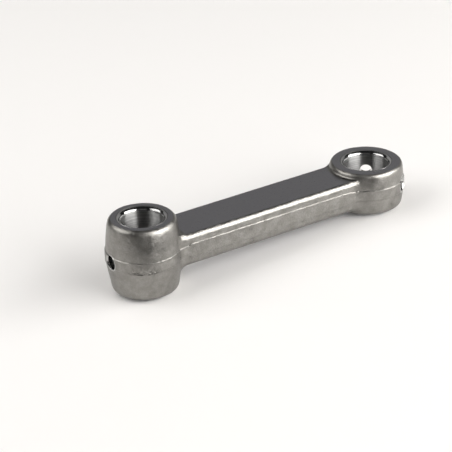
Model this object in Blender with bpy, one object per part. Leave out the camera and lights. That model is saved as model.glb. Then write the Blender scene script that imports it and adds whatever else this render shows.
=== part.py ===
"""Connecting rod for a small engine: a drop-forged steel rod with a plain bush pressed into each eye.

Frame: +X from the small end to the big end, +Z along both bores, origin at the middle of the
bounding box. Units are metres.
"""

import math

import bmesh
import bpy
from mathutils import Matrix, Vector

MM = 0.001

# Driving dimensions, in millimetres.
CENTRE_DISTANCE = 80.0

SMALL_HALF_HEIGHT = 11.1      # half the length of the small-end eye
SMALL_MID_RADIUS = 11.15      # over the trimmed parting band
SMALL_EDGE_RADIUS = 10.05     # where the drafted wall meets the rounded rim
SMALL_FACE_RADIUS = 9.0       # outer edge of the ground end face
SMALL_RIM_HEIGHT = 1.7        # height of the rounded rim

BIG_HALF_HEIGHT = 6.65
BIG_MID_RADIUS = 12.2
BIG_EDGE_RADIUS = 11.5
BIG_FACE_RADIUS = 10.4
BIG_RIM_HEIGHT = 1.5

SHANK_HALF_WIDTH = 7.85       # over the trimmed parting band
SHANK_FLAT_HALF_WIDTH = 6.5   # edge of the ground flat
SHANK_HALF_THICKNESS = 4.92
BAND_HALF_HEIGHT = 1.7        # trimmed parting band
BAND_PROUD = 0.2              # how far the band stands out from the drafted walls
SHANK_FILLET_SMALL = 4.5      # fillet between shank and small-end eye, seen from above
SHANK_FILLET_BIG = 7.0        # the same at the big end

BUSH_GAP = 0.12               # radial gap between each bush and its seat
BUSH_RECESS = 0.1             # how far each bush end stands below the eye's end face
SMALL_BORE_RADIUS = 6.05
SMALL_BUSH_RADIUS = 7.3
SMALL_CHAMFER = 1.1
BIG_BORE_RADIUS = 6.55
BIG_BUSH_RADIUS = 7.8
BIG_CHAMFER = 1.1

SMALL_OIL_HOLE_RADIUS = 1.95
BIG_OIL_HOLE_RADIUS = 2.0
SMALL_OIL_HOLE_Z = -0.25      # height of the small end's oil hole above the parting plane
BIG_OIL_HOLE_Z = 0.25
BIG_OIL_HOLE_ANGLES = (("left", 52.0), ("right", -52.0))   # from the rod's axis, at the outer side

ROUND_SEGMENTS = 96
HOLE_SEGMENTS = 32
FILLET_STEPS = 8

# The outline runs further past the big end than past the small end, so the bores are not centred.
X_SHIFT = -(CENTRE_DISTANCE + BIG_MID_RADIUS - SMALL_MID_RADIUS) / 2.0
SMALL_X = X_SHIFT
BIG_X = X_SHIFT + CENTRE_DISTANCE


def clear_scene():
    for obj in list(bpy.data.objects):
        bpy.data.objects.remove(obj, do_unlink=True)


def make_material(name, colour, metallic, roughness):
    material = bpy.data.materials.new(name)
    material.use_nodes = True
    shader = material.node_tree.nodes["Principled BSDF"]
    shader.inputs["Base Color"].default_value = (*colour, 1.0)
    shader.inputs["Metallic"].default_value = metallic
    shader.inputs["Roughness"].default_value = roughness
    material.diffuse_color = (*colour, 1.0)
    return material


def object_from_bmesh(name, mesh_data):
    bmesh.ops.recalc_face_normals(mesh_data, faces=mesh_data.faces)
    mesh = bpy.data.meshes.new(name)
    mesh_data.to_mesh(mesh)
    mesh_data.free()
    obj = bpy.data.objects.new(name, mesh)
    bpy.context.collection.objects.link(obj)
    return obj


def loft(name, rings, closed_profile=False):
    """Join rings of equal length. Open profiles are capped, closed ones return to the first ring."""
    build = bmesh.new()
    levels = [[build.verts.new(Vector(point) * MM) for point in ring] for ring in rings]
    count = len(rings[0])
    pairs = list(zip(levels[:-1], levels[1:]))
    if closed_profile:
        pairs.append((levels[-1], levels[0]))
    for lower, upper in pairs:
        for i in range(count):
            j = (i + 1) % count
            build.faces.new((lower[i], lower[j], upper[j], upper[i]))
    if not closed_profile:
        build.faces.new(tuple(reversed(levels[0])))
        build.faces.new(tuple(levels[-1]))
    return object_from_bmesh(name, build)


def circle(radius, z, centre_x, segments=ROUND_SEGMENTS):
    points = []
    for i in range(segments):
        angle = math.tau * (i + 0.5) / segments
        points.append((centre_x + radius * math.cos(angle), radius * math.sin(angle), z))
    return points


def eye_profile(half_height, mid_radius, edge_radius, face_radius, rim_height):
    """Radius and height pairs from the lower end face to the upper one."""
    upper = [(mid_radius, BAND_HALF_HEIGHT), (mid_radius - BAND_PROUD, BAND_HALF_HEIGHT + BAND_PROUD)]
    rim_base = half_height - rim_height
    upper.append((edge_radius, rim_base))
    steps = 6
    for i in range(1, steps + 1):
        angle = 0.5 * math.pi * i / steps
        radius = face_radius + (edge_radius - face_radius) * math.cos(angle)
        upper.append((radius, rim_base + rim_height * math.sin(angle)))
    lower = [(radius, -z) for radius, z in reversed(upper)]
    return lower + upper


def eye_radius_at(z, half_height, mid_radius, edge_radius, rim_height):
    if abs(z) <= BAND_HALF_HEIGHT:
        return mid_radius
    wall_radius = mid_radius - BAND_PROUD
    share = (abs(z) - BAND_HALF_HEIGHT) / (half_height - rim_height - BAND_HALF_HEIGHT)
    return wall_radius + (edge_radius - wall_radius) * min(share, 1.0)


def fillet_side(eye_radius, half_width, fillet):
    """Points of the concave fillet between an eye centred on the origin and a shank along +X."""
    centre_y = half_width + fillet
    centre_x = math.sqrt((eye_radius + fillet) ** 2 - centre_y ** 2)
    start = math.atan2(-centre_y, -centre_x)
    end = -0.5 * math.pi
    points = []
    for i in range(FILLET_STEPS + 1):
        angle = start + (end - start) * i / FILLET_STEPS
        points.append((centre_x + fillet * math.cos(angle), centre_y + fillet * math.sin(angle)))
    return points


def shank_outline(z, half_width):
    """One closed ring of the shank: both fillets on the +Y side, then both on the -Y side."""
    small_radius = eye_radius_at(z, SMALL_HALF_HEIGHT, SMALL_MID_RADIUS, SMALL_EDGE_RADIUS,
                                 SMALL_RIM_HEIGHT)
    big_radius = eye_radius_at(z, BIG_HALF_HEIGHT, BIG_MID_RADIUS, BIG_EDGE_RADIUS, BIG_RIM_HEIGHT)
    near = fillet_side(small_radius - 0.06, half_width, SHANK_FILLET_SMALL)
    far = fillet_side(big_radius - 0.06, half_width, SHANK_FILLET_BIG)
    side = [(SMALL_X + x, y) for x, y in near] + [(BIG_X - x, y) for x, y in reversed(far)]
    root_small = (SMALL_X + 8.6, 4.0)
    root_big = (BIG_X - 8.9, 4.0)
    half = [root_small] + side + [root_big]
    ring = half + [(x, -y) for x, y in reversed(half)]
    return [(x, y, z) for x, y in ring]


def shank_sections():
    """Height and half-width pairs from the lower flat, round the edge, to the upper flat."""
    upper = [(BAND_HALF_HEIGHT, SHANK_HALF_WIDTH)]
    steps = 6
    inset = SHANK_HALF_WIDTH - BAND_PROUD - SHANK_FLAT_HALF_WIDTH
    wall_top = BAND_HALF_HEIGHT + BAND_PROUD
    for i in range(steps + 1):
        angle = 0.5 * math.pi * i / steps
        width = SHANK_FLAT_HALF_WIDTH + inset * math.cos(angle)
        height = wall_top + (SHANK_HALF_THICKNESS - wall_top) * math.sin(angle)
        upper.append((height, width))
    return [(-z, width) for z, width in reversed(upper)] + upper


def cylinder_between(name, start, end, radius, segments):
    """A closed cylinder between two points given in millimetres."""
    start = Vector(start) * MM
    end = Vector(end) * MM
    length = (end - start).length
    build = bmesh.new()
    bmesh.ops.create_cone(build, cap_ends=True, segments=segments, radius1=radius * MM,
                          radius2=radius * MM, depth=length)
    turn = Vector((0.0, 0.0, 1.0)).rotation_difference((end - start).normalized())
    place = Matrix.Translation((start + end) / 2.0) @ turn.to_matrix().to_4x4()
    bmesh.ops.transform(build, matrix=place, verts=build.verts)
    return object_from_bmesh(name, build)


def straight_cutter(name, radius, half_length, centre_x):
    return loft(name, [circle(radius, -half_length, centre_x), circle(radius, half_length, centre_x)])


def boolean(target, tool, operation, keep_tool=True):
    modifier = target.modifiers.new(f"{operation.lower()}_{tool.name}", "BOOLEAN")
    modifier.operation = operation
    modifier.object = tool
    modifier.solver = "EXACT"
    if keep_tool:
        tool.hide_render = True
        tool.display_type = "WIRE"


def apply_modifiers(obj):
    graph = bpy.context.evaluated_depsgraph_get()
    mesh = bpy.data.meshes.new_from_object(obj.evaluated_get(graph))
    obj.modifiers.clear()
    obj.data = mesh
    mesh.name = obj.name


def remove(objects):
    for obj in objects:
        bpy.data.objects.remove(obj, do_unlink=True)


def shade_round(obj, angle=30.0):
    mesh = obj.data
    build = bmesh.new()
    build.from_mesh(mesh)
    for face in build.faces:
        face.smooth = True
    limit = math.radians(angle)
    for edge in build.edges:
        edge.smooth = len(edge.link_faces) == 2 and edge.calc_face_angle(0.0) < limit
    build.to_mesh(mesh)
    build.free()


def oil_hole_cutters():
    """One hole at the tip of the small end and a pair at the outer side of the big end."""
    small = cylinder_between("small_oil_hole_cutter", (SMALL_X, 0.0, SMALL_OIL_HOLE_Z),
                             (SMALL_X - SMALL_MID_RADIUS - 2.0, 0.0, SMALL_OIL_HOLE_Z),
                             SMALL_OIL_HOLE_RADIUS, HOLE_SEGMENTS)
    big = []
    reach = BIG_MID_RADIUS + 2.0
    for label, degrees in BIG_OIL_HOLE_ANGLES:
        angle = math.radians(degrees)
        tip = (BIG_X + reach * math.cos(angle), reach * math.sin(angle), BIG_OIL_HOLE_Z)
        big.append(cylinder_between(f"big_oil_hole_cutter_{label}", (BIG_X, 0.0, BIG_OIL_HOLE_Z), tip,
                                    BIG_OIL_HOLE_RADIUS, HOLE_SEGMENTS))
    return small, big


def build_forging(small_hole, big_holes):
    small_eye = eye_profile(SMALL_HALF_HEIGHT, SMALL_MID_RADIUS, SMALL_EDGE_RADIUS,
                            SMALL_FACE_RADIUS, SMALL_RIM_HEIGHT)
    big_eye = eye_profile(BIG_HALF_HEIGHT, BIG_MID_RADIUS, BIG_EDGE_RADIUS,
                          BIG_FACE_RADIUS, BIG_RIM_HEIGHT)
    forging = loft("rod_forging", [shank_outline(z, width) for z, width in shank_sections()])
    eye_a = loft("small_eye_blank", [circle(r, z, SMALL_X) for r, z in small_eye])
    eye_b = loft("big_eye_blank", [circle(r, z, BIG_X) for r, z in big_eye])
    seat_a = straight_cutter("small_seat_cutter", SMALL_BUSH_RADIUS + BUSH_GAP,
                             SMALL_HALF_HEIGHT + 2.0, SMALL_X)
    seat_b = straight_cutter("big_seat_cutter", BIG_BUSH_RADIUS + BUSH_GAP,
                             BIG_HALF_HEIGHT + 2.0, BIG_X)
    boolean(forging, eye_a, "UNION")
    boolean(forging, eye_b, "UNION")
    for cutter in (seat_a, seat_b, small_hole, *big_holes):
        boolean(forging, cutter, "DIFFERENCE")
    apply_modifiers(forging)
    remove([eye_a, eye_b, seat_a, seat_b])
    return forging


def build_bush(name, centre_x, outer, bore, chamfer, half_height, holes):
    """A plain bush with a chamfered mouth at each end, drilled through in line with the oil holes."""
    top = half_height - BUSH_RECESS
    profile = [
        (outer, -top),
        (outer, top),
        (bore + chamfer, top),
        (bore, top - chamfer),
        (bore, -top + chamfer),
        (bore + chamfer, -top),
    ]
    bush = loft(name, [circle(r, z, centre_x) for r, z in profile], closed_profile=True)
    for hole in holes:
        boolean(bush, hole, "DIFFERENCE")
    apply_modifiers(bush)
    return bush


def main():
    clear_scene()
    forged = make_material("forged_steel", (0.33, 0.325, 0.315), 0.9, 0.45)
    small_metal = make_material("small_bush_steel", (0.46, 0.46, 0.47), 1.0, 0.22)
    big_metal = make_material("big_bush_steel", (0.46, 0.46, 0.47), 1.0, 0.22)

    small_hole, big_holes = oil_hole_cutters()
    forging = build_forging(small_hole, big_holes)
    small_bush = build_bush("small_end_bush", SMALL_X, SMALL_BUSH_RADIUS, SMALL_BORE_RADIUS,
                            SMALL_CHAMFER, SMALL_HALF_HEIGHT, [small_hole])
    big_bush = build_bush("big_end_bush", BIG_X, BIG_BUSH_RADIUS, BIG_BORE_RADIUS,
                          BIG_CHAMFER, BIG_HALF_HEIGHT, big_holes)
    remove([small_hole, *big_holes])

    for obj, material in ((forging, forged), (small_bush, small_metal), (big_bush, big_metal)):
        obj.data.materials.clear()
        obj.data.materials.append(material)
        shade_round(obj)


main()
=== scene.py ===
"""Connecting rod: the detailed forging and its two bushes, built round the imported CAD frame."""

import math

import bmesh
import bpy
import numpy as np
from mathutils import Matrix, Vector, noise


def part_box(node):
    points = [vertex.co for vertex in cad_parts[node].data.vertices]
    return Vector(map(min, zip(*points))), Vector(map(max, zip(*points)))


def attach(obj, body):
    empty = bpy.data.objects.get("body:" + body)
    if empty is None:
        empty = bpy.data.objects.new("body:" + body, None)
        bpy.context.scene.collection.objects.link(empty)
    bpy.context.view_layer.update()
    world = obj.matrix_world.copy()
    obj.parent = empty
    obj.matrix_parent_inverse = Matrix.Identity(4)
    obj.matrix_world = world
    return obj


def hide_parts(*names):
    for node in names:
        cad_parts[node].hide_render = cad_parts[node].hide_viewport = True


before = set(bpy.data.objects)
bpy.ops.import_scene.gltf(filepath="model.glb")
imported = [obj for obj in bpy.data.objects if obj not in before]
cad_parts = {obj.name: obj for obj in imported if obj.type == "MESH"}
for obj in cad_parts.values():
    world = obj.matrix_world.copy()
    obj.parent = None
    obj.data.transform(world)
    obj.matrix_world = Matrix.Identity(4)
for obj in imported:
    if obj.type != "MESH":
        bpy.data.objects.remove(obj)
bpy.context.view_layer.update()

MM = 0.001

# ---------------------------------------------------------------- sizes, in millimetres and degrees


def node_centre(node):
    """x of the middle of a CAD node."""
    low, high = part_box(node)
    return (low.x + high.x) / 2 / MM


SMALL_X = node_centre("small_end_bush")
BIG_X = node_centre("big_end_bush")

SHANK = dict(
    flat_z=4.9,        # height of the ground flat above the parting plane
    edge_y=6.42,       # half the width of the flat, to its broken edge
    break_r=0.16,      # radius of that broken edge
    round_r=1.75,      # radius of the forged corner below it
    round_top=64.0,    # direction in which the corner ends and the broken edge starts
    draft=3.0,         # lean of the sides
)
# sign: which way the shank lies. height: half the eye's length. wall: radius at the parting plane.
# rim_z, rim_r, rim_end: where the rounded rim starts, and the direction in which it ends.
# face: outer edge of the end face. seat: the bush's seat. fillet: radius between eye and shank, in plan.
# cove, cove_tip, cove_z: width on the flat at its middle and at its edge, and height up the eye's wall.
# skin_r: radius that takes in all of the eye's wall. girth, noise_start: radius and start of its noise.
SMALL = dict(
    x=SMALL_X, sign=1.0, height=11.08, wall=10.84, rim_z=8.9, rim_r=10.1, rim_end=60.0,
    face=8.95, seat=7.36, fillet=6.2, fillet_steps=16, cove=0.45, cove_tip=2.1, cove_z=1.2,
    hole_z=-0.25, hole_r=1.95, mouth_r=2.5, hole_reach=11.0, hole_angles=(180.0,),
    bush_r=7.31, bore_r=6.05, skin_r=11.5, girth=10.7, noise_start=61.0,
)
BIG = dict(
    x=BIG_X, sign=-1.0, height=6.63, wall=11.45, rim_z=4.9, rim_r=11.15, rim_end=60.0,
    face=10.35, seat=7.86, fillet=7.6, fillet_steps=26, cove=1.0, cove_tip=1.0, cove_z=0.62,
    hole_z=0.25, hole_r=2.0, mouth_r=2.75, hole_reach=11.6, hole_angles=(52.0, -52.0),
    bush_r=7.81, bore_r=6.55, skin_r=12.6, girth=11.7, noise_start=101.0,
)
EYES = (SMALL, BIG)

BAND_PROUD = 0.22               # how far the trimmed parting band stands out
BAND_ROWS = (1.48, 1.6, 1.72)   # mesh rows of the band's ledge: full, half and none of its rise
BAND_SHANK_Z = 2.05             # half the band's height along the shank
BAND_EYE_Z = 1.55               # and round the eyes
BAND_REACH = 2.9                # height up to which mesh rows follow the band's ragged edge
BAND_WIDENS = (10.6, 11.2)      # distances from the small eye's axis between which the band widens
BAND_NARROWS = (9.0, 13.0)      # and from the big eye's axis between which it narrows again

TAPER = 0.45                    # how much slimmer the small eye is below the parting plane
TAPER_Z = (1.5, 9.0)            # depths between which that grows
TAPER_REACH = 14.0              # distance from the small eye's axis that the taper acts within
DENT_DEPTH = 0.26               # of the worn patch on the small eye
SKIN_WAVE = 0.035               # slow unevenness of the forged skin
LEVEL_NORMAL = 0.97             # a normal steeper than this belongs to a ground face

MOUTH_ROUND = 1.1               # radius of each bush's rounded mouth
BUSH_SINK = 0.06                # how far a bush's end stands below the end face
FLOOR_GAP = 0.03                # clearance between the eyes and the floor

# mesh density: how many faces each stretch is divided into
SHANK_COLUMNS, CORNER_ROWS, BREAK_ROWS = 170, 11, 3
COVE_ROWS, COVE_COLUMNS = 6, 14
WALL_ROWS, RIM_ROWS, LOW_EYE_ROWS = 8, 12, 10
OUTER_COLUMNS, FACE_ROWS, SEAT_ROWS = 72, 4, 8


# ---------------------------------------------------------------- forging: section and profiles


def direction(angle):
    return np.array([math.cos(angle), math.sin(angle)])


def bezier(p0, p1, p2, p3, t):
    t = np.asarray(t)[..., None]
    return (1 - t) ** 3 * p0 + 3 * (1 - t) ** 2 * t * p1 + 3 * (1 - t) * t * t * p2 + t ** 3 * p3


def arc_lengths(points):
    """Distance along a polyline to each of its points."""
    steps = np.linalg.norm(np.diff(points, axis=0), axis=1)
    return np.concatenate([[0], np.cumsum(steps)])


def shank_quarter():
    """(y, z, lift) from the parting plane up the side and round the edge to the flat's edge.

    lift says how much of the cove's rise each line takes where it runs up the eye.
    """
    top = math.radians(SHANK["round_top"])
    low = math.radians(SHANK["draft"])
    break_centre = np.array([SHANK["edge_y"], SHANK["flat_z"] - SHANK["break_r"]])
    round_centre = break_centre + (SHANK["break_r"] - SHANK["round_r"]) * direction(top)
    foot = round_centre + SHANK["round_r"] * direction(low)
    levels = [0.0, 0.4, 0.75, 1.05, 1.3, *BAND_ROWS, 1.85, 2.1, 2.4, 2.7, 2.95]
    points = [(foot[0] + (foot[1] - z) * math.tan(low), z, 0.0) for z in levels]
    corner = [(round_centre, SHANK["round_r"], a) for a in np.linspace(low, top, CORNER_ROWS + 1)]
    corner += [(break_centre, SHANK["break_r"], a)
               for a in np.linspace(top, math.pi / 2, BREAK_ROWS + 1)[1:]]
    for centre, radius, angle in corner:
        y, z = centre + radius * direction(angle)
        points.append((y, z, (angle - low) / (math.pi / 2 - low)))
    return np.array(points)


def eye_profile(eye):
    """Dense (radius, z) polyline of the upper half of an eye's outside, up to its face's edge."""
    narrowing = eye["wall"] - eye["rim_r"]
    share = np.linspace(0, 1, 60)[:-1]
    radii = eye["wall"] - narrowing * (0.25 * share + 0.75 * share ** 2)
    wall = np.stack([radii, eye["rim_z"] * share], -1)

    start = np.array([eye["rim_r"], eye["rim_z"]])
    end = np.array([eye["face"], eye["height"]])
    slope = np.array([-narrowing * 1.75, eye["rim_z"]])   # the wall's own slope where it ends
    slope /= np.linalg.norm(slope)
    angle = math.radians(eye["rim_end"])
    out = np.array([math.sin(angle), -math.cos(angle)])
    span = np.linalg.norm(end - start)
    rim = bezier(start, start + slope * span * 0.42, end + out * span * 0.36, end,
                 np.linspace(0, 1, 60))
    return np.vstack([wall, rim])


def radius_at(eye, z):
    return np.interp(z, eye["profile"][:, 1], eye["profile"][:, 0])


def plan_fillet(eye, y, z, u):
    """Points, measured from the eye's axis towards the shank, of the concave fillet at height z."""
    r, wall = eye["fillet"], float(radius_at(eye, z))
    centre = np.array([math.sqrt((wall + r) ** 2 - (y + r) ** 2), y + r])
    start = -math.pi / 2
    end = math.atan2(-centre[1], -centre[0])
    a = start + (end - start) * np.asarray(u)
    return np.stack([centre[0] + r * np.cos(a), centre[1] + r * np.sin(a)], -1)


def cove_curve(eye, tip_share, u):
    """(radius, z) along the cove from the eye's wall, u 0, to the flat, u 1.

    tip_share runs from 0 on the rod's centre line to 1 at the flat's edge.
    """
    flat_z = SHANK["flat_z"]
    width = eye["cove"] + (eye["cove_tip"] - eye["cove"]) * tip_share ** 4
    foot = np.array([float(radius_at(eye, flat_z)) + width, flat_z])
    top_z = flat_z + eye["cove_z"]
    top = np.array([float(radius_at(eye, top_z)), top_z])
    below = np.array([float(radius_at(eye, top_z - 0.1)), top_z - 0.1])
    slope = (below - top) / np.linalg.norm(below - top)
    return bezier(top, top + slope * eye["cove_z"] * 0.6, foot - np.array([width * 0.6, 0.0]), foot, u)


def prepare_fillet(eye):
    """Finds where the cove's outer line leaves the flat's edge, so that both share a vertex there."""
    y, z = SECTION[-1, 0], SECTION[-1, 1]
    u = np.linspace(0, 1, 4001)
    rho = np.hypot(*plan_fillet(eye, y, z, u).T)
    foot = float(radius_at(eye, SHANK["flat_z"])) + eye["cove_tip"]
    if rho[0] < foot:
        raise ValueError("the cove is wider than the fillet allows")
    tip = u[np.argmax(rho < foot)]
    before = max(3, int(round(eye["fillet_steps"] * tip)))
    after = max(5, eye["fillet_steps"] - before)
    eye["tip_index"] = before
    eye["shares"] = np.concatenate([np.linspace(0, tip, before + 1), np.linspace(tip, 1, after + 1)[1:]])
    x_tip, y_tip = plan_fillet(eye, y, z, [tip])[0]
    eye["theta_tip"] = math.atan2(y_tip, x_tip)


SECTION = shank_quarter()
for eye in EYES:
    eye["profile"] = eye_profile(eye)
    prepare_fillet(eye)


# ---------------------------------------------------------------- forging: one quarter as grids


def polar(radius, theta):
    return np.stack([radius * np.cos(theta), radius * np.sin(theta)], -1)


def to_world(eye, p, z):
    """Plan point measured from the eye's axis towards the shank, into the row's frame."""
    return np.stack([eye["x"] + eye["sign"] * p[..., 0], p[..., 1], np.broadcast_to(z, p.shape[:-1])], -1)


def from_world(eye, points):
    """(angle, radius) about the eye's axis, with angle 0 towards the shank."""
    x = (points[..., 0] - eye["x"]) * eye["sign"]
    return np.arctan2(points[..., 1], x), np.hypot(x, points[..., 1])


def fillet_grid(eye):
    """Lines of the section, each carried round the plan fillet onto the eye's wall.

    Past the cove's tip the flat's edge climbs the cove. eye["stop"] keeps how much of the cove is
    left above it in each column.
    """
    shares, tip = eye["shares"], eye["tip_index"]
    edge = plan_fillet(eye, SECTION[-1, 0], SECTION[-1, 1], shares)
    rho = np.hypot(edge[:, 0], edge[:, 1])
    u_line = np.linspace(0, 1, 400)
    curve = cove_curve(eye, 1.0, u_line)
    rise = np.zeros(len(shares))
    stop = np.ones(len(shares))
    for i in range(tip + 1, len(shares)):
        stop[i] = np.interp(rho[i], curve[:, 0], u_line)
        rise[i] = np.interp(stop[i], u_line, curve[:, 1]) - SHANK["flat_z"]
    stop[-1] = 0.0
    rise[-1] = eye["cove_z"]
    eye["stop"] = stop
    rows = []
    for y, z, lift in SECTION:
        height = z + rise * lift
        p = plan_fillet(eye, y, z, shares)
        if lift > 0:
            # the last point sits on the eye's wall at the lifted height
            shift = (radius_at(eye, height) - float(radius_at(eye, z))) * shares ** 2
            r = np.hypot(p[:, 0], p[:, 1])
            p = p * ((r + shift) / r)[:, None]
        rows.append(to_world(eye, p, height))
    return np.array(rows)


def cove_grids(eye, fillet):
    """The cove at the flat's end, the cove above the fillet, and the angles of their columns."""
    u = np.linspace(0, 1, COVE_ROWS + 1)
    tip = eye["tip_index"]
    full_thetas = np.linspace(0, eye["theta_tip"], COVE_COLUMNS + 1)
    full = []
    for theta in full_thetas:
        curve = cove_curve(eye, theta / eye["theta_tip"], u)
        full.append(to_world(eye, polar(curve[:, 0], theta), curve[:, 1]))
    full = np.array(full)
    full[-1, -1] = fillet[-1, tip]

    rest_thetas, _ = from_world(eye, fillet[-1, tip:])
    rest = []
    for theta, stop, end in zip(rest_thetas, eye["stop"][tip:], fillet[-1, tip:]):
        curve = cove_curve(eye, 1.0, u * stop)
        line = to_world(eye, polar(curve[:, 0], theta), curve[:, 1])
        line[-1] = end
        rest.append(line)
    rest = np.array(rest)
    rest[0] = full[-1]
    rest[-1] = fillet[-1, -1]
    return full, rest, np.concatenate([full_thetas, rest_thetas[1:]])


def wall_grid(eye, full, rest, thetas):
    """The eye's wall and rim above the cove, up to the end face's edge."""
    profile = eye["profile"]
    length = arc_lengths(profile)
    low = float(np.interp(SHANK["flat_z"] + eye["cove_z"], profile[:, 1], length))
    rim = float(np.interp(eye["rim_z"], profile[:, 1], length))
    if rim > low + 0.5:
        s = np.concatenate([np.linspace(low, rim, WALL_ROWS + 1)[:-1],
                            np.linspace(rim, length[-1], RIM_ROWS + 1)])
    else:
        s = np.linspace(low, length[-1], LOW_EYE_ROWS + 1)
    radius = np.interp(s, length, profile[:, 0])
    height = np.interp(s, length, profile[:, 1])
    wall = np.array([to_world(eye, polar(radius, theta), height) for theta in thetas])
    wall[:len(full), 0] = full[:, 0]
    wall[len(full) - 1:, 0] = rest[:, 0]
    return wall


def outer_grid(eye, fillet, wall):
    """Outer side of the eye: rows at constant height, from the fillet round to the far tip."""
    start = np.vstack([fillet[:, -1], wall[-1][1:]])
    theta, radius = from_world(eye, start)
    outer = np.array([to_world(eye, polar(radius, theta + (math.pi - theta) * share), start[:, 2])
                      for share in np.linspace(0, 1, OUTER_COLUMNS + 1)])
    outer[0] = start
    outer[-1, :, 1] = 0.0
    return outer


def end_grids(eye, wall, outer):
    """The ground end face, and the bush's seat from there down to the parting plane."""
    ring = np.vstack([wall[:, -1], outer[1:, -1]])
    theta, radius = from_world(eye, ring)
    face = []
    for share in np.linspace(0, 1, FACE_ROWS + 1):
        p = polar(radius * (1 - share) + eye["seat"] * share, theta)
        p[[0, -1], 1] = 0.0
        face.append(to_world(eye, p, ring[:, 2]))
    face = np.array(face)
    face[0] = ring
    seat = np.array([face[-1] * (1.0, 1.0, 1.0 - share) for share in np.linspace(0, 1, SEAT_ROWS + 1)])
    return face, seat


def flat_grid(small, big, side, left, right):
    """The shank's ground flat, stretched from the centre line to its edge and between the coves."""

    def across(a, b):
        return a[None] * (1 - share[:, None]) + b[None] * share[:, None]

    edge = np.vstack([small[-1, :SMALL["tip_index"] + 1][::-1], side[-1, 1:-1],
                      big[-1, :BIG["tip_index"] + 1]])
    length = arc_lengths(edge)
    share = length / length[-1]
    swell = edge - across(left[-1], right[-1])
    flat = np.array([across(a, b) + swell * v
                     for v, a, b in zip(np.linspace(0, 1, len(left)), left, right)])
    flat[0], flat[-1], flat[:, 0], flat[:, -1] = across(left[0], right[0]), edge, left, right
    return flat


def build_quarter():
    small, big = fillet_grid(SMALL), fillet_grid(BIG)
    share = np.linspace(0, 1, SHANK_COLUMNS + 1)[None, :, None]
    side = small[:, 0][:, None, :] * (1 - share) + big[:, 0][:, None, :] * share
    grids = [small, big, side]
    flat_ends = []
    for eye, fillet in ((SMALL, small), (BIG, big)):
        full, rest, thetas = cove_grids(eye, fillet)
        wall = wall_grid(eye, full, rest, thetas)
        outer = outer_grid(eye, fillet, wall)
        grids += [full, rest, wall, outer, *end_grids(eye, wall, outer)]
        flat_ends.append(full[:, -1])
    grids.append(flat_grid(small, big, side, *flat_ends))
    return grids


# ---------------------------------------------------------------- meshes


def object_from(build, name):
    """Turns a bmesh into a linked object and frees it."""
    mesh = bpy.data.meshes.new(name)
    build.to_mesh(mesh)
    build.free()
    obj = bpy.data.objects.new(name, mesh)
    bpy.context.collection.objects.link(obj)
    return obj


def mesh_from_grids(name, grids):
    """Mirrors one quarter's grids across both planes and welds them into a closed mesh."""
    build = bmesh.new()
    for mirror in ((1, 1, 1), (1, -1, 1), (1, 1, -1), (1, -1, -1)):
        for grid in grids:
            verts = [[build.verts.new(p) for p in row] for row in grid * mirror * MM]
            for a, b in zip(verts[:-1], verts[1:]):
                for i in range(len(a) - 1):
                    build.faces.new((a[i], a[i + 1], b[i + 1], b[i]))
    bmesh.ops.remove_doubles(build, verts=build.verts, dist=0.004 * MM)
    bmesh.ops.dissolve_degenerate(build, edges=build.edges, dist=0.001 * MM)
    loose = [v for v in build.verts if not v.link_faces]
    bmesh.ops.delete(build, geom=loose, context="VERTS")
    bmesh.ops.recalc_face_normals(build, faces=build.faces)
    open_edges = sum(1 for e in build.edges if len(e.link_faces) != 2)
    print(name, "faces", len(build.faces), "edges not shared by two faces", open_edges)
    return object_from(build, name)


def join_rings(build, rings):
    for a, b in rings:
        for i in range(len(a)):
            j = (i + 1) % len(a)
            build.faces.new((a[i], a[j], b[j], b[i]))


def turned(name, centre_x, profile, segments=160):
    """A closed ring turned about the eye's axis from a closed (radius, z) profile."""
    build = bmesh.new()
    angles = [math.tau * i / segments for i in range(segments)]
    rings = [[build.verts.new(Vector((centre_x + r * math.cos(a), r * math.sin(a), z)) * MM) for a in angles]
             for r, z in profile]
    join_rings(build, zip(rings, rings[1:] + rings[:1]))
    bmesh.ops.recalc_face_normals(build, faces=build.faces)
    return object_from(build, name)


def lathe_solid(name, origin, axis, profile, segments=48):
    """A closed solid of revolution from (radius, distance) pairs along axis, for cutting."""
    build = bmesh.new()
    z = Vector(axis).normalized()
    x = z.orthogonal().normalized()
    y = z.cross(x)
    angles = [math.tau * i / segments for i in range(segments)]
    rings = [[build.verts.new((Vector(origin) + z * d + (x * math.cos(a) + y * math.sin(a)) * r) * MM)
              for a in angles] for r, d in profile]
    join_rings(build, zip(rings[:-1], rings[1:]))
    build.faces.new(list(reversed(rings[0])))
    build.faces.new(rings[-1])
    bmesh.ops.recalc_face_normals(build, faces=build.faces)
    return object_from(build, name)


def cut(target, tools):
    for tool in tools:
        modifier = target.modifiers.new("cut", "BOOLEAN")
        modifier.operation = "DIFFERENCE"
        modifier.solver = "EXACT"
        modifier.object = tool
    graph = bpy.context.evaluated_depsgraph_get()
    mesh = bpy.data.meshes.new_from_object(target.evaluated_get(graph))
    target.modifiers.clear()
    target.data = mesh
    mesh.name = target.name


def shade(obj, angle=22.0):
    """Smooth shading, with sharp edges where faces meet at more than the angle."""
    build = bmesh.new()
    build.from_mesh(obj.data)
    limit = math.radians(angle)
    for f in build.faces:
        f.smooth = True
        f.material_index = 0
    for e in build.edges:
        e.smooth = len(e.link_faces) == 2 and e.calc_face_angle(0.0) < limit
    build.to_mesh(obj.data)
    build.free()


# ---------------------------------------------------------------- forging: band and skin


def smooth(a, b, x):
    """0 at a, 1 at b, eased between. a may be the larger."""
    t = min(max((x - a) / (b - a), 0.0), 1.0)
    return t * t * (3 - 2 * t)


def noise_at(x, y, z):
    return noise.noise(Vector((x, y, z)))


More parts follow.
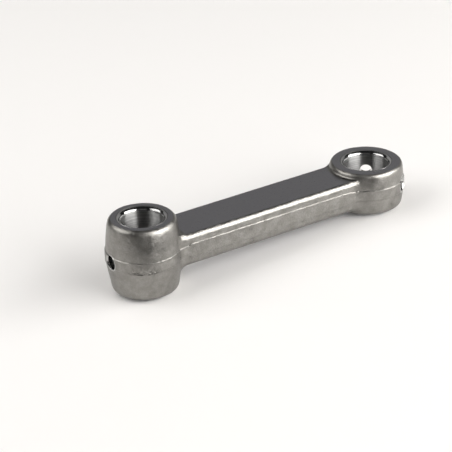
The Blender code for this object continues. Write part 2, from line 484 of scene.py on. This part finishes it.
def band_height(x, along):
    """Half-height of the trimmed band at x, ragged along its length."""
    on_shank = smooth(*BAND_WIDENS, x - SMALL_X) * smooth(*BAND_NARROWS, BIG_X - x)
    base = BAND_EYE_Z + (BAND_SHANK_Z - BAND_EYE_Z) * on_shank
    rougher = 1 + 2.2 * smooth(0, 30, x)   # towards the big eye
    slow = noise_at(along * 0.55, 3.1, 0.7) * 0.06
    quick = noise_at(along * 1.7, 9.4, 2.2) * 0.05
    return base + slow + quick * rougher


def place_along(x, y):
    """Distance along the shank's side or round an eye's wall, which the noise follows."""
    for eye in EYES:
        if math.hypot(x - eye["x"], y) < eye["skin_r"]:
            angle = math.atan2(y, -eye["sign"] * (x - eye["x"]))
            return eye["x"] + eye["noise_start"] + angle * eye["girth"]
    return x + 0.8 * y


def small_eye_taper(x, y, z):
    """The small eye narrows a little below the parting plane, on the side away from the shank."""
    distance = math.hypot(x - SMALL_X, y)
    if distance > TAPER_REACH or z > 0:
        return 0.0
    return -TAPER * smooth(*TAPER_Z, -z) * smooth(0.75, -0.1, (x - SMALL_X) / distance)


def band_move(x, y, z):
    """(outward, upward) move of a point near the parting plane. Its rows only move away from it."""
    height = abs(z)
    if height >= BAND_REACH:
        return 0.0, 0.0
    along = place_along(x, y)
    shift = band_height(x, along) - BAND_ROWS[1]
    shift *= smooth(0.4, 1.3, height) * smooth(BAND_REACH, 1.9, height)
    uneven = noise_at(along * 0.9, z * 1.1, 5.0) * 0.035 + noise_at(along * 2.6, z * 3.0, 8.0) * 0.02
    out = (BAND_PROUD + uneven) * (1 - smooth(BAND_ROWS[0], BAND_ROWS[2], height))
    distance = math.hypot(x - SMALL_X, y)
    if distance < SMALL["skin_r"]:
        # a worn, dented patch on the small eye's front
        front = smooth(0.8, 1.0, -(0.55 * (x - SMALL_X) + 0.83 * y) / distance)
        worn = front * smooth(0.6, 0.0, z) * smooth(-2.7, -1.9, z)
        out += noise_at(along * 2.0, z * 2.6, 1.0) * DENT_DEPTH * worn
    return out, math.copysign(shift, z)


def finish_forging(obj):
    """Raises the trimmed band and gives the forged skin its slight unevenness."""
    build = bmesh.new()
    build.from_mesh(obj.data)
    build.normal_update()
    moves = []
    for v in build.verts:
        x, y, z = v.co / MM
        ground = any(math.hypot(x - eye["x"], y) < eye["face"] - 0.05 for eye in EYES)
        if ground or abs(v.normal.z) > LEVEL_NORMAL:
            continue
        out, up = band_move(x, y, z)
        on_side = 1 - min(abs(v.normal.z) * 1.4, 1.0)
        out += noise_at(x * 0.22, y * 0.22, z * 0.22) * SKIN_WAVE * on_side + small_eye_taper(x, y, z)
        moves.append((v, out, up))
    for v, out, up in moves:
        level = Vector((v.normal.x, v.normal.y, 0.0))
        if level.length > 1e-6:
            level.normalize()
        v.co += (level * out + Vector((0, 0, up))) * MM
    build.to_mesh(obj.data)
    build.free()


# ---------------------------------------------------------------- the three pieces


def hole_axis(angle):
    return (*direction(math.radians(angle)), 0.0)


def drills(eye):
    """One drill for each of the eye's oil holes, with a rounded flare at the mouth."""
    radius, mouth, reach = eye["hole_r"], eye["mouth_r"], eye["hole_reach"]
    flare = mouth - radius
    depth = flare * 1.5
    turn = math.radians(75)
    profile = [(radius, 0.0), (radius, reach - depth)]
    for a in np.linspace(0, turn, 7)[1:]:
        profile.append((radius + flare * (1 - math.cos(a)) / (1 - math.cos(turn)),
                        reach - depth + depth * math.sin(a) / math.sin(turn)))
    profile.append((mouth + 1.0, reach + 0.9))
    start = (eye["x"], 0, eye["hole_z"])
    return [lathe_solid("drill", start, hole_axis(angle), profile) for angle in eye["hole_angles"]]


def bush(name, eye, tools):
    """A plain bush with rounded mouths, cross-drilled by the tools."""
    outer, bore, top = eye["bush_r"], eye["bore_r"], eye["height"] - BUSH_SINK
    upper = [(bore, 0.0), (bore, top * 0.45), (bore, top - MOUTH_ROUND - 0.3)]
    for a in np.radians(np.linspace(180, 96, 15)):
        upper.append((bore + MOUTH_ROUND * (1 + math.cos(a)), top - MOUTH_ROUND * (1 - math.sin(a))))
    upper += [(bore + MOUTH_ROUND + 0.02, top), (outer - 0.1, top), (outer, top - 0.1)]
    lower = [(r, -z) for r, z in reversed(upper)]
    obj = turned(name, eye["x"], upper + lower[:-1])
    cut(obj, tools)
    shade(obj)
    return obj


small_drills, big_drills = drills(SMALL), drills(BIG)
forging = mesh_from_grids("forging", build_quarter())
finish_forging(forging)
cut(forging, small_drills + big_drills)
shade(forging)
small_bush = bush("small_bush", SMALL, small_drills)
big_bush = bush("big_bush", BIG, big_drills)
for tool in small_drills + big_drills:
    bpy.data.objects.remove(tool, do_unlink=True)

# ---------------------------------------------------------------- materials


class Steel:
    """A metal material and short calls for building its node tree."""

    def __init__(self, name):
        self.material = bpy.data.materials.new(name)
        self.material.use_nodes = True
        self.tree = self.material.node_tree
        self.shader = self.tree.nodes["Principled BSDF"]
        self.shader.inputs["Metallic"].default_value = 1.0
        self.coords = self.node("ShaderNodeTexCoord", {}).outputs["Object"]

    def node(self, kind, inputs, **settings):
        """A node with its inputs linked to other nodes' outputs or set to values."""
        made = self.tree.nodes.new(kind)
        for key, value in settings.items():
            setattr(made, key, value)
        for key, value in inputs.items():
            if isinstance(value, bpy.types.NodeSocket):
                self.tree.links.new(value, made.inputs[key])
            else:
                made.inputs[key].default_value = value
        return made

    def math(self, operation, a, *b):
        return self.node("ShaderNodeMath", dict(enumerate((a, *b))), operation=operation).outputs[0]

    def vector_math(self, operation, a, b):
        return self.node("ShaderNodeVectorMath", {0: a, 1: b}, operation=operation)

    def split(self, vector):
        return self.node("ShaderNodeSeparateXYZ", {0: vector})

    def ramp(self, source, low, high, to_low=0.0, to_high=1.0):
        stops = {"From Min": low, "From Max": high, "To Min": to_low, "To Max": to_high}
        return self.node("ShaderNodeMapRange", {"Value": source, **stops}).outputs["Result"]

    def mix(self, factor, a, b):
        return self.node("ShaderNodeMix", {0: factor, 2: a, 3: b}).outputs[0]

    def mix_colour(self, factor, a, b):
        sockets = {0: factor, 6: a, 7: b}
        sockets = {k: (*v, 1.0) if isinstance(v, tuple) else v for k, v in sockets.items()}
        return self.node("ShaderNodeMix", sockets, data_type="RGBA").outputs[2]

    def noise(self, scale, detail, roughness=0.5):
        values = {"Vector": self.coords, "Scale": scale, "Detail": detail, "Roughness": roughness}
        return self.node("ShaderNodeTexNoise", values).outputs[0]

    def streaks(self, scale, detail):
        """Noise stretched by a different scale along each axis."""
        mapped = self.node("ShaderNodeMapping", {"Vector": self.coords, "Scale": scale}).outputs[0]
        values = {"Vector": mapped, "Scale": 1.0, "Detail": detail}
        return self.node("ShaderNodeTexNoise", values).outputs[0]

    def feed(self, socket, source):
        self.tree.links.new(source, self.shader.inputs[socket])

    def set_bump(self, height, distance):
        values = {"Height": height, "Strength": 0.5, "Distance": distance}
        self.feed("Normal", self.node("ShaderNodeBump", values).outputs[0])

    def drilled(self, eye, angle):
        """1 on the wall and mouth of one oil hole, 0 elsewhere."""
        axis = hole_axis(angle)
        start = (eye["x"] * MM, 0.0, eye["hole_z"] * MM)
        offset = self.vector_math("SUBTRACT", self.coords, start).outputs[0]
        aside = self.vector_math("CROSS_PRODUCT", offset, axis).outputs[0]
        distance = self.node("ShaderNodeVectorMath", {0: aside}, operation="LENGTH").outputs["Value"]
        ahead = self.vector_math("DOT_PRODUCT", offset, axis).outputs["Value"]
        near = self.math("LESS_THAN", distance, (eye["mouth_r"] - 0.04) * MM)
        outside = self.math("GREATER_THAN", ahead, (eye["seat"] + 0.3) * MM)
        return self.math("MULTIPLY", near, outside)


def forged_steel():
    """Blasted skin, ground flats where a face points straight up or down, and bright oil holes."""
    steel = Steel("forged_steel")
    normal = steel.node("ShaderNodeNewGeometry", {}).outputs["True Normal"]
    ground = steel.ramp(steel.math("ABSOLUTE", steel.split(normal).outputs["Z"]), 0.995, 0.999)
    holes = [steel.drilled(eye, angle) for eye in EYES for angle in eye["hole_angles"]]
    drilled = holes[0]
    for hole in holes[1:]:
        drilled = steel.math("MAXIMUM", drilled, hole)

    grain = steel.noise(2600.0, 3.0, 0.6)
    pits = steel.node("ShaderNodeTexVoronoi", {"Vector": steel.coords, "Scale": 1900.0}).outputs["Distance"]
    patch = steel.noise(420.0, 5.0, 0.62)
    grinding = steel.streaks((900.0, 7500.0, 900.0), 3.0)

    skin = steel.mix_colour(steel.ramp(patch, 0.35, 0.65), (0.245, 0.237, 0.222), (0.345, 0.336, 0.316))
    skin = steel.mix_colour(steel.ramp(grain, 0.3, 0.75, 0.0, 0.5), skin, (0.2, 0.194, 0.182))
    flat = steel.mix_colour(steel.ramp(grinding, 0.35, 0.65), (0.257, 0.253, 0.272), (0.284, 0.28, 0.299))
    colour = steel.mix_colour(ground, skin, flat)
    steel.feed("Base Color", steel.mix_colour(drilled, colour, (0.5, 0.5, 0.49)))

    skin_rough = steel.ramp(patch, 0.3, 0.7, 0.27, 0.41)
    flat_rough = steel.ramp(grinding, 0.3, 0.7, 0.27, 0.36)
    steel.feed("Roughness", steel.mix(drilled, steel.mix(ground, skin_rough, flat_rough), 0.16))

    height = steel.math("ADD", steel.math("MULTIPLY", grain, 1.1), steel.math("MULTIPLY", pits, 0.5))
    height = steel.math("ADD", height, steel.math("MULTIPLY", patch, 2.2))
    skin_only = steel.math("SUBTRACT", 1.0, steel.math("MAXIMUM", ground, drilled))
    marks = steel.math("MULTIPLY", steel.math("MULTIPLY", grinding, 0.07), ground)
    steel.set_bump(steel.math("ADD", steel.math("MULTIPLY", height, skin_only), marks), 0.00012)
    return steel.material


def bored_steel(name, eye):
    """Bored wall with uneven rings along the axis, and smoother rounded mouths."""
    steel = Steel(name)
    rings = steel.streaks((60.0, 60.0, 5200.0), 2.0)
    patch = steel.noise(260.0, 3.0)
    height = steel.math("ABSOLUTE", steel.split(steel.coords).outputs["Z"])
    mouth = steel.ramp(height, (eye["height"] - 1.2) * MM, (eye["height"] - 0.85) * MM)
    colour = steel.mix_colour(steel.ramp(rings, 0.35, 0.65), (0.34, 0.34, 0.34), (0.5, 0.5, 0.495))
    steel.feed("Base Color", colour)
    steel.feed("Roughness", steel.mix(mouth, steel.ramp(patch, 0.3, 0.7, 0.38, 0.44), 0.14))
    steel.set_bump(rings, 0.00003)
    steel.feed("Tangent", steel.node("ShaderNodeTangent", {}, direction_type="RADIAL", axis="Z").outputs[0])
    steel.shader.inputs["Anisotropic"].default_value = 1.0
    steel.shader.inputs["Anisotropic Rotation"].default_value = 0.25
    return steel.material


def paint(obj, material):
    obj.data.materials.clear()
    obj.data.materials.append(material)


paint(forging, forged_steel())
paint(small_bush, bored_steel("small_bush_steel", SMALL))
paint(big_bush, bored_steel("big_bush_steel", BIG))

for piece, node, slot in (
    (forging, "rod_forging", "forged_steel"),
    (small_bush, "small_end_bush", "small_bush_steel"),
    (big_bush, "big_end_bush", "big_bush_steel"),
):
    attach(piece, "root")
    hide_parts(node)

# ---------------------------------------------------------------- floor

WARM_WHITE = (1.0, 0.985, 0.965)


def matte(name, colour, roughness):
    material = bpy.data.materials.new(name)
    material.use_nodes = True
    shader = material.node_tree.nodes["Principled BSDF"]
    shader.inputs["Base Color"].default_value = (*colour, 1.0)
    shader.inputs["Roughness"].default_value = roughness
    shader.inputs["Specular IOR Level"].default_value = 0.2
    return material, shader


def make_floor():
    """A wide pale floor under the lower faces of both eyes, which stand at different heights."""
    touch_small = Vector((SMALL_X + SMALL["face"], -SMALL["height"]))
    touch_big = Vector((BIG_X + BIG["face"], -BIG["height"]))
    run = touch_big - touch_small
    build = bmesh.new()
    bmesh.ops.create_grid(build, x_segments=8, y_segments=8, size=3.0)
    obj = object_from(build, "floor")
    obj.rotation_euler = (0.0, -math.atan2(run.y, run.x), 0.0)
    obj.location = (touch_small.x * MM, 0.0, (touch_small.y - FLOOR_GAP) * MM)
    material, shader = matte("pale_floor", (0.88, 0.87, 0.86), 0.6)
    # the floor glows faintly: painted light that lifts the shadows on it
    shader.inputs["Emission Color"].default_value = (*WARM_WHITE, 1.0)
    shader.inputs["Emission Strength"].default_value = 0.03
    paint(obj, material)
    return obj


floor = make_floor()

# ---------------------------------------------------------------- camera

FOCAL_SHARE = 4.186195          # focal length over the picture's width
SENSOR = 36.0
AZIMUTH, ELEVATION, ROLL = math.radians(-33.45), math.radians(26.38), math.radians(-1.48)
DISTANCE = 558.4
PAN = (9.59, -3.35)             # how far the camera stands left of and above the line to the rod's middle

back = Vector((math.sin(AZIMUTH) * math.cos(ELEVATION), -math.cos(AZIMUTH) * math.cos(ELEVATION),
               math.sin(ELEVATION)))
right = Vector((math.cos(AZIMUTH), math.sin(AZIMUTH), 0.0))
up = back.cross(right)
rolled_right = right * math.cos(ROLL) + up * math.sin(ROLL)
rolled_up = up * math.cos(ROLL) - right * math.sin(ROLL)
middle = Vector(((SMALL_X + BIG_X) / 2, 0.0, 0.0))
lens_point = middle + back * DISTANCE - rolled_right * PAN[0] + rolled_up * PAN[1]
camera_data = bpy.data.cameras.new("camera")
camera_data.sensor_width = SENSOR
camera_data.lens = FOCAL_SHARE * SENSOR
camera_data.clip_start = 0.01
camera_data.clip_end = 20.0
camera = bpy.data.objects.new("camera", camera_data)
bpy.context.collection.objects.link(camera)
facing = Matrix((rolled_right, rolled_up, back)).transposed().to_4x4()
camera.matrix_world = Matrix.Translation(lens_point * MM) @ facing
bpy.context.scene.camera = camera

# ---------------------------------------------------------------- light

world = bpy.data.worlds.new("studio")
bpy.context.scene.world = world
world.use_nodes = True
world.node_tree.nodes["Background"].inputs["Color"].default_value = (0.97, 0.98, 1.0, 1.0)
world.node_tree.nodes["Background"].inputs["Strength"].default_value = 0.02

toward = Vector((back.x, back.y, 0.0)).normalized()


def softbox(name, azimuth, elevation, distance, size, radiance):
    """A soft rectangle aimed at the rod. azimuth is measured from the camera, positive to its right."""
    data = bpy.data.lights.new(name, "AREA")
    data.shape = "RECTANGLE"
    data.size, data.size_y = size
    data.energy = radiance * math.pi * size[0] * size[1]
    data.color = WARM_WHITE
    light = bpy.data.objects.new(name, data)
    bpy.context.collection.objects.link(light)
    a, e = math.radians(azimuth), math.radians(elevation)
    place = (toward * math.cos(a) + right * math.sin(a)) * math.cos(e) + Vector((0, 0, math.sin(e)))
    light.location = place * distance
    light.rotation_mode = "QUATERNION"
    light.rotation_quaternion = place.to_track_quat("Z", "Y")
    light.visible_camera = False
    return light


def painted_dark_reflection(near_edge, depth, width):
    """A dark sheet in front of the rod, just over the floor. It shows in reflections alone, as painted dark
    reflection in the metal.
    """
    half = width / 2
    far_edge = near_edge - depth
    build = bmesh.new()
    corners = ((-half, near_edge), (half, near_edge), (half, far_edge), (-half, far_edge))
    build.faces.new([build.verts.new((x, y, 0.0)) for x, y in corners])
    card = object_from(build, "painted_dark_reflection")
    card.rotation_euler = floor.rotation_euler
    card.location = floor.location + Vector((0, 0, 0.2 * MM))
    paint(card, matte("painted_dark_reflection", (0.02, 0.02, 0.02), 0.8)[0])
    card.visible_camera = card.visible_diffuse = card.visible_shadow = False
    card.visible_transmission = card.visible_volume_scatter = False


# painted dark reflection: a black sheet that only the metal's reflections see
painted_dark_reflection(-0.038, 1.0, 0.9)

# seen in the metal; the first lights nothing else
right_box = softbox("right_box", 66, 24, 0.8, (1.05, 0.64), 7.0)
right_box.visible_diffuse = False
softbox("left_box", -82, 34, 0.8, (0.74, 0.56), 2.7)
softbox("back_card", 180, 27, 1.0, (1.6, 0.42), 0.42)
softbox("front_card", 0, 27, 1.0, (0.9, 0.42), 0.2)

# light the floor and shape the shadows without showing in the metal
for key in (
    softbox("right_key", 70, 26, 0.8, (1.25, 0.66), 5.0),
    softbox("left_key", -122, 60, 0.8, (0.6, 0.6), 1.5),
    softbox("top_fill", 180, 75, 0.9, (0.9, 0.9), 0.2),
):
    key.visible_glossy = False

bpy.context.scene.view_settings.view_transform = "Standard"
